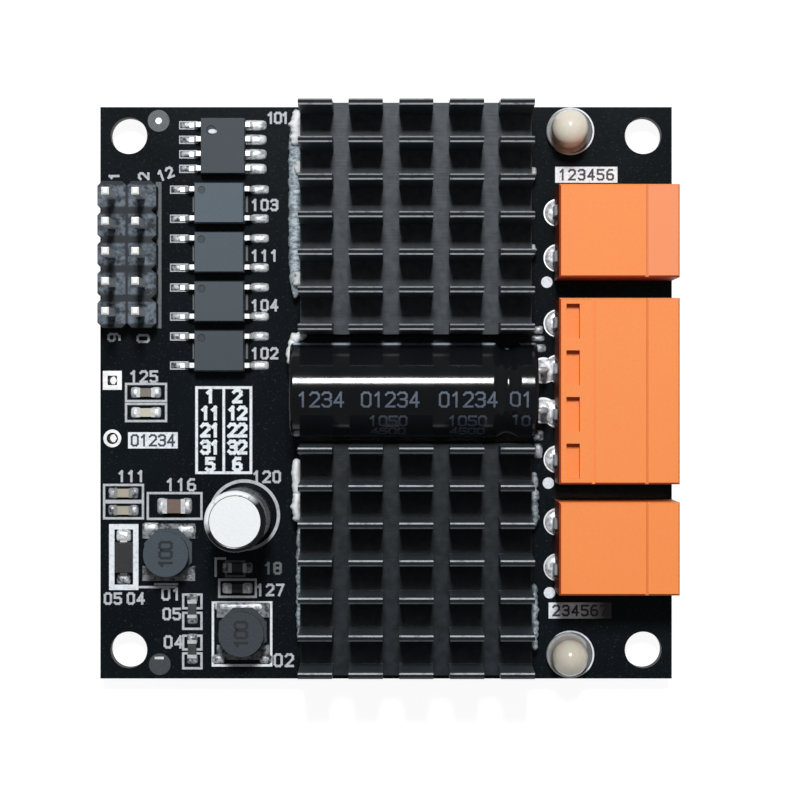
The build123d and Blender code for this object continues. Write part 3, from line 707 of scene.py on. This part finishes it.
class DRIVER_OT_capacitors(Operator):
    """Sleeve both electrolytic capacitors, bend the large one's wires and print it"""
    bl_idname = "driver.capacitors"
    bl_label = "Capacitors"

    @staticmethod
    def sleeve(radius, length, groove, groove_width, bore):
        """Profile (r, h) from the closed end: rolled lip, wall, cosine groove, rolled end, bore."""
        turn = np.radians(np.linspace(-90, 0, 7))
        lip = [(radius - 0.3 + 0.3 * math.cos(a), 0.3 + 0.3 * math.sin(a)) for a in turn]
        lip += [(radius, 0.33), (radius, 0.4), (radius, groove[0] - groove_width / 2 - 0.06)]
        wave = np.linspace(0, 2 * math.pi, 17)
        waist = [
            (radius - groove[1] * (1 - math.cos(w)) / 2, groove[0] + groove_width * (w / (2 * math.pi) - 0.5))
            for w in wave
        ]
        end = [(radius, groove[0] + groove_width / 2 + 0.06), (radius, length - 0.36)]
        end += [(radius - 0.3 + 0.3 * math.cos(a), length - 0.3 - 0.3 * math.sin(a)) for a in turn[::-1]]
        inside = [(bore, length - 0.02), (bore, length - 0.6), (0, length - 0.6)]
        start = [(0, 0.35), (radius - 0.6, 0.35), (radius - 0.55, 0.1), (radius - 0.42, 0.02)]
        return start + lip + waist + end + inside

    def execute(self, context):
        look = context.scene.driver.capacitors
        black = look.sleeve_colour
        f = Finish("black_shrunk_sleeve")
        cloud = f.noise(2.5, 2)
        # Painted highlight: a pale blue line where the sleeve faces +Y stands for a grazing reflection along
        # its upper edge.
        sleeve = f.shade(
            f.mix(f.facing(1).above(0.95, 0.02), f.shades(cloud, black, 0.8, 1.4), (0.55, 0.66, 0.8)),
            0.1 + cloud * 0.05, f.noise(1.3, 2), 0.005, gloss=0.26,
        )
        low, high = extent("small_capacitor_can")
        site = (*(low + high)[:2] / 2, high[2])
        small_radius, small_length = (high[0] - low[0]) / 2, high[2] - low[2]
        f = Finish("black_sleeve_with_painted_highlights")
        x, y = f.x - site[0], f.y - site[1]
        # Painted highlight: the rolled lip is pale in patches on its upper-left part, as if it caught the
        # lamp.
        rim = f.from_axis(*site[:2]).above(small_radius - 0.4, 0.05) * f.z.above(high[2] - 0.4, 0.1)
        rim *= (y - x * 0.6).above(0.9, 1.2) * f.noise(0.5, 3).above(0.32, 0.2)
        # Painted reflection: a blue-grey crescent on the right-hand flank just below the lip.
        flank = (x + y * 0.4).above(1.9, 0.5) * f.z.under(high[2] - 0.35, 0.2) * f.z.above(high[2] - 2.6, 0.8)
        dark = f.mix(flank * f.noise(0.6, 3).above(0.38, 0.3), black, (0.42, 0.5, 0.62))
        sleeve_with_painted_light = f.shade(f.mix(rim, dark, (0.85, 0.88, 0.92)), 0.22, f.noise(0.9, 2), 0.008, gloss=0.3)
        f = Finish("satin_can_aluminium")
        grain = f.noise(0.25, 3)
        satin = f.mix(grain, (0.74, 0.78, 0.8), (0.86, 0.89, 0.9))
        bare = f.shade(satin, 0.42 + grain * 0.1, grain, 0.006, Metallic=0.15)
        rubber = Finish("dull_rubber").shade((0.012, 0.012, 0.012), 0.75)
        dress(rubber, "bulk_capacitor_bung", "small_capacitor_bung")

        low, high = extent("bulk_capacitor_can")
        _, middle_y, middle_z = (low + high) / 2
        axle = (low[0], middle_y, middle_z)
        radius, length = (high[2] - low[2]) / 2, high[0] - low[0]
        crimp, crimp_width, crimp_depth = length - 2.6, 2.4, 0.42
        profile = self.sleeve(radius, length, (crimp, crimp_depth), crimp_width, 3.22)
        shell = turned(profile, [axle], 96, lying=True)
        piece("bulk_capacitor_sleeve", shell, sleeve, ["bulk_capacitor_can"])
        top = [(0, 0.14), (radius - 0.62, 0.14), (radius - 0.5, 0.2), (radius - 0.5, 0.6), (0, 0.6)]
        top = turned(top, [axle], 72, True)
        piece("bulk_capacitor_top", top, bare)

        profile = self.sleeve(small_radius, small_length, (small_length - 1.6, 0.25), 1.2, 2.02)
        shell = turned([(r, -h) for r, h in profile[::-1]], [site], 72)
        piece("small_capacitor_sleeve", shell, sleeve_with_painted_light, ["small_capacitor_can"])
        rim = small_radius - 0.34
        top = [(0, -0.6), (rim, -0.6), (rim, -0.1), (rim - 0.06, -0.04), (rim - 0.1, -0.04), (0, -0.04)]
        piece("small_capacitor_top", turned(top, [site], 64), bare)

        low, high = extent("bulk_capacitor_leads")
        bend, reach = 0.65, high[0] - WIRE_HALF
        arc = np.radians(np.linspace(90, 0, 12))
        path = [(low[0] - WIRE_HALF, middle_z)]
        path += [(reach - bend + bend * math.cos(a), middle_z - bend + bend * math.sin(a)) for a in arc]
        path += [(reach, BOARD_TOP), (reach, low[2])]
        shape = wires(path, [middle_y - 1.75, middle_y + 1.75], WIRE_HALF)
        piece("bulk_capacitor_wires", shape, tin(), ["bulk_capacitor_leads"])
        dress(tin(), "small_capacitor_leads")

        f = Finish("sleeve_print")
        worn = f.shades(f.noise(0.25, 3), look.print_colour, 0.4)
        # Painted shade: the print darkens on the sleeve's flank towards -Y, below y = -2 mm.
        ink = f.shade(f.mix(f.y.under(-2.0, 0.8), worn, times(look.print_colour, 0.2)), 0.45, gloss=0.3)
        rows = [
            (-0.8, 1.2, [("1234", -5.5), ("01234", 0.4), ("01234", 7.0), ("01", 11.5)]),
            (-2.84, 1.0, [("1050", 0.2), ("1050", 6.95), ("10", 11.5)]),
            (-4.19, 0.9, [("4500", 0.2), ("4500", 6.95)]),
        ]
        strokes = np.concatenate([
            number(text, x, along, height, pitch=0.85) for along, height, texts in rows for text, x in texts
        ])
        share = np.linspace(0, 1, 7)
        knots = strokes[:, None, :2] + (strokes[:, None, 2:] - strokes[:, None, :2]) * share[None, :, None]
        strokes = np.concatenate([knots[:, :-1], knots[:, 1:]], -1).reshape(-1, 4)
        points, faces = bars(strokes, 0.17, -0.01, 0.012)
        off = np.clip((points[:, 0] - axle[0] - crimp) / crimp_width, -0.5, 0.5)
        dip = crimp_depth * (1 + np.cos(2 * math.pi * off)) / 2
        around, out = points[:, 1] / radius, radius - dip + points[:, 2]
        wrapped = [points[:, 0], middle_y + out * np.sin(around), middle_z + out * np.cos(around)]
        flat_piece("sleeve_numbers", [(np.stack(wrapped, -1), faces)], ink)
        return {"FINISHED"}


class DRIVER_OT_sockets(Operator):
    """Finish the orange plug headers and their pins"""
    bl_idname = "driver.sockets"
    bl_label = "Plug headers"

    def execute(self, context):
        orange = context.scene.driver.sockets.shroud_colour
        f = Finish("orange_moulded_plastic")
        cloud = f.noise(5.0, 3)
        grain = f.noise(0.22, 3)
        # Painted shade: faces turned towards -Y and -X, the slots' walls among them, are dark red.
        wall = (f.facing(1).under(-0.35, 0.2) + f.facing(0).under(-0.35, 0.2)) * 0.85
        lip = BOARD_EDGE - 2.8
        # Painted shade: a dark line along the groove at the lip.
        groove_shade = abs(f.x - lip).under(0.045, 0.03) * 0.7
        pink = f.x.above(lip, 0.1) * f.y.above(8.0, 1.0)
        face = f.mix(cloud, times(orange, (0.97, 0.93, 0.9)), orange)
        face = f.mix(grain.above(0.56, 0.2) * 0.35, face, times(orange, (0.93, 0.84, 0.75)))
        face = f.mix(pink, face, times(orange, (0.96, 1.0, 1.6)))
        face = f.mix(groove_shade, face, (0.42, 0.09, 0.02))
        finish = f.shade(
            f.mix(wall, face, (0.3, 0.02, 0.008)), 0.46 + cloud * 0.08, grain, 0.006, gloss=0.3,
        )
        dress(finish, *[f"{name}_shroud" for name in SOCKETS])
        dress(tin(), *[f"{name}_pins" for name in SOCKETS])
        return {"FINISHED"}


class DRIVER_OT_header(Operator):
    """Finish the control header"""
    bl_idname = "driver.header"
    bl_label = "Control header"

    def execute(self, context):
        f = Finish("black_header_plastic")
        x, y, _ = middle("control_header_strip")
        joint = ((f.y - y) * (2 * math.pi / 2.54)).of("COSINE").above(-0.7, 0.3)
        # Painted highlight: pale blotches on each pin's cell of the strip, none at the joints between cells
        # and none below 1.5 mm over the board.
        painted_sheen = f.noise(0.55, 4, roughness=0.6).above(0.5, 0.22) * joint * abs(f.x - x).above(0.12, 0.12)
        strip = f.shade(
            f.mix(painted_sheen * f.z.above(BOARD_TOP + 1.5, 0.5), (0.01, 0.0145, 0.019), (0.13, 0.165, 0.205)), 0.6,
            f.noise(0.2), 0.01, gloss=0.35,
        )
        dress(strip, "control_header_strip")
        f = Finish("bright_pin_ends")
        tone = f.noise(0.4, 3)
        flank = f.mix(tone, (0.5, 0.53, 0.56), (0.85, 0.88, 0.9))
        # Painted highlight: the pins' upward ends are plain white and not metallic.
        end = f.facing(2).above(0.55, 0.2)
        metal = f.shade(f.mix(end, flank, (1, 1, 1)), 0.35 + end * 0.2, Metallic=0.4 - end * 0.4)
        dress(metal, "control_header_pins")
        return {"FINISHED"}


class DRIVER_OT_packages(Operator):
    """Finish the driver chip, the optocouplers and the diode"""
    bl_idname = "driver.packages"
    bl_label = "Packages"

    def execute(self, context):
        # Painted light: each package's moulding is lightened or darkened by its own factor, standing for how
        # it is lit.
        for name, tone in zip(PACKAGES, (0.52, 1.18, 0.92, 0.72, 0.59)):
            low, high = extent(f"{name}_body")
            f = Finish(f"{name}_moulding")
            across, up, wide = (0.95, 1.1, 0.38) if name == "driver_chip" else (0.7, 0.7, 0.3)
            top = f.z.above(high[2] - 0.05, 0.04)
            dimple = f.from_axis(low[0] + across, high[1] - up).under(wide, 0.06) * top
            grain = f.noise(0.16, 3)
            colour = f.mix(grain, times((0.046, 0.066, 0.083), tone), times((0.078, 0.108, 0.136), tone))
            colour = f.mix(dimple * 0.6, colour, (0.02, 0.025, 0.03))
            if name == "driver_chip":
                # Painted highlight: a pale glint in the lower part of the pin-1 dimple.
                spot = ((f.x - low[0] - across - 0.12) ** 2 + ((f.y - high[1] + up + 0.12) * 1.9) ** 2) ** 0.5
                colour = f.mix(spot.under(0.36, 0.08) * top, colour, (0.75, 0.8, 0.85))
            body = f.shade(colour, 0.55 + grain * 0.15, grain * 0.3 + dimple * -4.0 + 4.0, 0.016)
            dress(body, f"{name}_body")
            dress(tin(), f"{name}_leads")
        f = Finish("diode_moulding")
        tone = f.mix(f.noise(0.5, 3), (0.005, 0.007, 0.009), (0.016, 0.019, 0.022))
        dress(f.shade(tone, 0.65, f.noise(0.16), 0.01), "diode_body")
        dress(tin(), "diode_leads")
        return {"FINISHED"}


class DRIVER_OT_lamps(Operator):
    """Make the milky indicator lamps: a flange with a flat, a round body and a dome"""
    bl_idname = "driver.lamps"
    bl_label = "Indicator lamps"

    def execute(self, context):
        # Painted shade: the lower lamp's milky colour is darker than the upper one's.
        for end, glow in (("upper", (0.8, 0.765, 0.65)), ("lower", (0.64, 0.61, 0.52))):
            low, high = extent(f"indicator_lens_{end}")
            foot = (high[1] - low[1]) / 2
            centre = np.array([low[0] + foot, (low[1] + high[1]) / 2, low[2]])
            dome, tall = 1.58, high[2] - low[2]
            arc = np.radians(np.linspace(0, 90, 16))
            profile = [(0, 0), (foot - 0.06, 0), (foot, 0.08), (foot, 0.85), (foot - 0.12, 0.98), (dome, 1.0)]
            profile += [(dome * math.cos(a), tall - dome + dome * math.sin(a)) for a in arc]
            points, faces = turned(profile, [centre], 56)
            points[:, 0] = np.minimum(points[:, 0], high[0])

            f = Finish(f"milky_lens_{end}")
            cloud = f.noise(0.35, 3)
            milk = f.shades(cloud, glow, 0.92)
            # Painted shade: the dome darkens towards its foot.
            tone = f.mix(f.z.under(high[2] - 2.3, 1.6), milk, times(glow, (0.5, 0.5, 0.52)))
            flange = f.mix(f.noise(0.5), (0.25, 0.27, 0.28), (0.5, 0.53, 0.54))
            lens = f.shade(
                f.mix(f.from_axis(*centre[:2]).above(1.68, 0.06), tone, flange), 0.2, f.noise(0.8), 0.004,
                Subsurface_Weight=0.3, Subsurface_Scale=0.0008, Coat_Weight=0.1, Coat_Roughness=0.08,
            )
            piece(f"indicator_dome_{end}", (points, faces), lens, [f"indicator_lens_{end}"])
            dress(tin(), f"indicator_leads_{end}")
        return {"FINISHED"}


class DRIVER_OT_inductors(Operator):
    """Finish the drum inductors and number them"""
    bl_idname = "driver.inductors"
    bl_label = "Inductors"

    def execute(self, context):
        # Painted shade: the right core's colour is darker than the left one's by its factor.
        for end, level in (("left", 0.78), ("right", 0.46)):
            f = Finish(f"grey_ferrite_{end}")
            grain = f.noise(0.2, 4)
            colour = f.mix(grain, times((0.026, 0.043, 0.056), level), times((0.06, 0.093, 0.122), level))
            dress(f.shade(colour, 0.5 + grain * 0.2, grain, 0.02), f"inductor_core_{end}")
        f = Finish("enamelled_winding")
        turns = (f.z * (2 * math.pi / 0.18)).of("SINE")
        lug = f.z.under(BOARD_TOP + 0.25, 0.05)
        # Painted shade: the winding darkens in the grooves between its turns.
        wire = f.mix(turns * 0.5 + 0.5, (0.012, 0.013, 0.014), (0.05, 0.053, 0.056))
        colour = f.mix(lug * f.noise(0.4, 3).above(0.45, 0.2), wire, (0.22, 0.24, 0.26))
        enamel = f.shade(colour, 0.4, turns * (1 - lug), 0.05)
        dress(enamel, "inductor_winding_left", "inductor_winding_right")
        dark = print_ink("ferrite_print", (0.016, 0.022, 0.027))
        top = extent("inductor_core_left")[1][2]
        sites = [middle(f"inductor_core_{end}") for end in ("left", "right")]
        strokes = np.concatenate([number("100", x, y, 1.02, 90, pitch=0.74) for x, y, _ in sites])
        flat_piece("inductor_numbers", [bars(strokes, 0.23, top - 0.01, top + 0.012)], dark)
        return {"FINISHED"}


class DRIVER_OT_chips(Operator):
    """Finish the chip parts, bare in the middle and tinned at both ends"""
    bl_idname = "driver.chips"
    bl_label = "Chip parts"

    def execute(self, context):
        kinds = [
            (CHIPS[:1], (0.2, 0.18, 0.15), 0.5), (CHIPS[1:], (0.03, 0.033, 0.037), 0.45),
            (CERAMICS[:2], (0.44, 0.4, 0.32), 0.5), (CERAMICS[2:], (0.17, 0.11, 0.09), 0.5),
            (["state_lamp"], (0.62, 0.6, 0.47), 0.4),
        ]
        for names, colour, rough in kinds:
            for name in names:
                low, high = extent(name)
                size, centre = high - low, (low + high) / 2
                f = Finish(f"{name}_finish")
                along = abs(f.x - centre[0]) if size[0] > size[1] else abs(f.y - centre[1])
                cap = along.above(max(size[:2]) * 0.3, 0.03)
                tone = f.noise(0.3, 3)
                body = f.shades(tone, colour, 0.8)
                metal = f.mix(tone, (0.3, 0.31, 0.33), (0.72, 0.74, 0.76))
                if name in CERAMICS[:2]:
                    metal = f.mix(tone, (0.1, 0.11, 0.1), (0.34, 0.35, 0.32))
                dress(f.shade(f.mix(cap, body, metal), rough, tone, 0.02, Metallic=cap * 0.4), name)
        return {"FINISHED"}


class DRIVER_OT_solder(Operator):
    """Add the tinned lands and all solder"""
    bl_idname = "driver.solder"
    bl_label = "Lands and solder"

    def execute(self, context):
        contacts = []
        for name, poles in SOCKETS.items():
            low, high = extent(f"{name}_pins")
            low, high = low + CONTACT_HALF, high - CONTACT_HALF
            contacts += [(low[0], y) for y in np.linspace(low[1], high[1], poles)]
        low, high = extent("control_header_pins")
        low, high = low + PIN_HALF, high - PIN_HALF
        header = [(x, y) for x in (low[0], high[0]) for y in np.linspace(low[1], high[1], 5)]
        low, high = extent("bulk_capacitor_leads")
        large = [(high[0] - WIRE_HALF, y) for y in (low[1] + WIRE_HALF, high[1] - WIRE_HALF)]
        x, y, _ = middle("small_capacitor_leads")
        small = [(x, y - 1.0), (x, y + 1.0)]
        lamps = []
        for end in ("upper", "lower"):
            x, y, _ = middle(f"indicator_leads_{end}")
            lamps += [(x - 1.27, y), (x + 1.27, y)]

        low, high = BOARD_TOP - 0.01, BOARD_TOP + 0.035
        spare = [(-23.95, 1.09), (-23.95, -3.99)]
        top_lands = washers(contacts + large + [spare[1]], 0.5, [1.22] * 8 + [1.15] * 2 + [0.78], low, high)
        (x, y), off = spare[0], 0.62
        square = plates([(x - off, y), (x + off, y)], [(0.42, 1.66)] * 2, low, high)
        caps = plates([(x, y + off), (x, y - off)], [(0.84, 0.42)] * 2, low, high)
        # Sites, width of the land under the board, and foot, tip and length of the joint on it
        soldered = [
            (contacts, 1.2, 1.12, 0.6, 1.05), (header, 0.85, 0.78, 0.42, 0.95),
            (large, 1.05, 0.95, 0.34, 1.0), (small, 0.8, 0.72, 0.3, 0.95), (lamps, 0.85, 0.78, 0.34, 0.95),
        ]
        groups = [*[(sites, land) for sites, land, *_ in soldered], (spare, 0.75)]
        bottom = [washers(sites, 0.35, land, -0.035, 0.01) for sites, land in groups]
        fiducials = discs([(-19.9, 23.8)], 0.27, low, high)
        bar = plates([(-19.85, -23.2)], [(0.8, 0.22)], low, high)
        flat_piece("tinned_lands", [top_lands, square, caps, fiducials, bar, *bottom], tin())

        joints = []
        for sites, _, foot, tip, fall in soldered:
            flank = [(tip + (foot - tip) * (1 - s) ** 2.2, -fall * s) for s in np.linspace(0, 1, 9)]
            joints.append(turned([(0, -fall - 0.06), *flank[::-1], (0, 0.0)], sites, 28))
        contact_collar = [(0, low), (1.15, low), (1.05, high + 0.08), (0.85, high + 0.25), (0, high + 0.3)]
        wire_collar = [(0, low), (1.05, low), (0.8, high + 0.1), (0.5, high + 0.35), (0, high + 0.5)]
        joints += [turned(contact_collar, contacts, 28), turned(wire_collar, large, 28)]
        bright = solder("set_solder")
        piece("through_joints", together(*joints), bright)

        blobs, thin = [], []
        for name in PACKAGES:
            low, high, rows = lead_rows(name)
            far, near, wide = (2.3, 1.75, 0.92) if name == "driver_chip" else (1.6, 1.9, 0.8)
            blobs += [(high[0] + 0.75 - far / 2, y, far, wide, 0.34) for y in rows]
            thin += [(low[0] - 0.75 + near / 2, y, near, 0.58, 0.14) for y in rows]
        for name in [*CHIPS, *CERAMICS, "state_lamp"]:
            low, high = extent(name)
            (x, y, _), (across, up, tall) = (low + high) / 2, high - low
            # Painted shade: these chips' joints, like the packages' joints on their -X side, go with the
            # darkened thin solder.
            dim = name in ("resistor_2", "resistor_4", "resistor_5", *CERAMICS[:2])
            for side in (-1, 1):
                turned_up = up > across
                x_off, y_off = (0, side * (up / 2 + 0.1)) if turned_up else (side * (across / 2 + 0.1), 0)
                size = (across + 0.15, 0.85) if turned_up else (0.85, up + 0.15)
                (thin if dim else blobs).append((x + x_off, y + y_off, *size, tall * 0.6))
        low, high = extent("diode_leads")
        blobs.append((-22.95, high[1], 1.3, 1.1, 0.3))
        thin.append((-22.95, low[1], 1.2, 1.0, 0.2))
        blobs += [
            (-20.56, -11.75, 1.5, 0.8, 0.3), (-17.5, -11.95, 1.75, 0.85, 0.3), (-12.7, -18.7, 4.7, 0.75, 0.3),
            (14.2, 2.0, 1.85, 2.0, 0.3), (14.2, -1.6, 1.85, 2.0, 0.3),
        ]
        thin += [
            (-20.6, -16.1, 1.3, 0.6, 0.2), (-17.4, -16.1, 1.3, 0.6, 0.2), (-14.7, -23.3, 1.1, 0.8, 0.2),
            (-10.5, -23.3, 1.1, 0.8, 0.2), (13.34, 5.5, 0.8, 0.7, 0.2), (13.3, 4.75, 1.1, 0.5, 0.2),
            (13.5, 3.9, 1.0, 0.7, 0.2), (13.3, -3.75, 1.0, 0.9, 0.2), (13.3, -5.1, 0.8, 1.3, 0.2),
        ]
        # Painted shade: the thin joints' solder is darkened.
        dull = solder("thin_shaded_solder", (0.07, 0.08, 0.09), (0.5, 0.53, 0.56))
        for name, spots, finish in (("surface_joints", blobs, bright), ("thin_joints", thin, dull)):
            spots = np.array(spots)
            piece(name, mounds(spots[:, :2], spots[:, 2:4], spots[:, 4]), finish)
        return {"FINISHED"}


class DRIVER_OT_stage(Operator):
    """Set up the floor, the lamps, the surroundings and the camera"""
    bl_idname = "driver.stage"
    bl_label = "Stage"

    def execute(self, context):
        look = context.scene.driver.stage
        scene = context.scene
        scene.view_settings.view_transform = "Standard"
        floor_z = extent("control_header_pins")[0][2]
        reach = 600.0
        sides = ((-reach, -reach), (reach, -reach), (reach, reach), (-reach, reach))
        f = Finish("pale_floor")
        seen = f.node("ShaderNodeLightPath", output="Is Camera Ray")
        for ray in ("Is Glossy Ray", "Is Transmission Ray"):
            seen = seen.sum("MAXIMUM", seen, f.node("ShaderNodeLightPath", output=ray))
        paper = f.node("ShaderNodeBsdfDiffuse", (), {"Color": (0.25, 0.25, 0.25, 1)})
        glow = f.node("ShaderNodeEmission", (), {"Color": (1, 1, 1, 1), "Strength": seen * 0.92})
        both = f.node("ShaderNodeAddShader", (), {0: paper, 1: glow})
        f.node("ShaderNodeOutputMaterial", (), {"Surface": both})
        mesh = bpy.data.meshes.new("floor")
        mesh.from_pydata([(x / 1000, y / 1000, floor_z / 1000) for x, y in sides], [], [[0, 1, 2, 3]])
        mesh.materials.append(f.material)
        floor = bpy.data.objects.new("floor", mesh)
        scene.collection.objects.link(floor)

        world = bpy.data.worlds.new("studio")
        world.use_nodes = True
        scene.world = world
        w = Nodes(world.node_tree)
        direction = w.node("ShaderNodeTexCoord", output="Generated")
        side, up = (w.node("ShaderNodeSeparateXYZ", (), {0: direction}, axis) for axis in (1, 2))
        band, steady = look.fill_level * 0.75, look.fill_level * 0.25
        level = (1 - abs(up)) ** 1.2 * (1 - abs(side) * 0.5) * band + steady
        camera_ray = w.node("ShaderNodeLightPath", output="Is Camera Ray")
        strength = level * (1 - camera_ray) + camera_ray
        shine = w.node("ShaderNodeBackground", (), {"Color": (1, 1, 1, 1), "Strength": strength})
        w.node("ShaderNodeOutputWorld", (), {"Surface": shine})

        lamp = bpy.data.lights.new("key", "AREA")
        lamp.shape, lamp.size, lamp.size_y = "RECTANGLE", 0.064, 0.09
        lamp.energy = look.key_power
        key = bpy.data.objects.new("key", lamp)
        tilt, away = math.radians(23), 0.5
        key.location = (0, away * math.sin(tilt), away * math.cos(tilt))
        key.rotation_euler = (-tilt, 0, 0)
        scene.collection.objects.link(key)

        lens = bpy.data.cameras.new("camera")
        lens.sensor_width = 36
        lens.lens = 36 * look.camera_distance / look.view_width
        lens.clip_start, lens.clip_end = 0.01, 10
        camera = bpy.data.objects.new("camera", lens)
        camera.location = (0.00122, -0.000455, BOARD_TOP / 1000 + look.camera_distance)
        scene.collection.objects.link(camera)
        scene.camera = camera
        return {"FINISHED"}


class DRIVER_PT_panel(Panel):
    """Lists the makers and what can be changed"""
    bl_idname = "DRIVER_PT_panel"
    bl_label = "Driver module"
    bl_space_type = "VIEW_3D"
    bl_region_type = "UI"
    bl_category = "Driver module"

    def draw(self, context):
        driver = context.scene.driver
        for group in (driver.board, driver.heatsinks, driver.capacitors, driver.sockets, driver.stage):
            for key in group.__annotations__:
                self.layout.prop(group, key)
        for maker in MAKERS:
            self.layout.operator(maker.bl_idname)


GROUPS = [DriverBoard, DriverHeatsinks, DriverCapacitors, DriverSockets, DriverStage, DriverModule]
MAKERS = [
    DRIVER_OT_stage, DRIVER_OT_board, DRIVER_OT_heatsinks, DRIVER_OT_capacitors,
    DRIVER_OT_sockets, DRIVER_OT_header, DRIVER_OT_packages, DRIVER_OT_lamps,
    DRIVER_OT_inductors, DRIVER_OT_chips, DRIVER_OT_solder,
]


def register():
    """Adds the classes and the scene's settings."""
    for each in GROUPS + MAKERS + [DRIVER_PT_panel]:
        bpy.utils.register_class(each)
    bpy.types.Scene.driver = PointerProperty(
        type=DriverModule, name="Driver module", description="The module's looks")


def unregister():
    """Takes them out again."""
    del bpy.types.Scene.driver
    for each in reversed(GROUPS + MAKERS + [DRIVER_PT_panel]):
        bpy.utils.unregister_class(each)


def main():
    """Makes everything in order."""
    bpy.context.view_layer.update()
    register()
    for maker in MAKERS:
        group, name = maker.bl_idname.split(".")
        getattr(getattr(bpy.ops, group), name)()


if __name__ == "__main__":
    main()
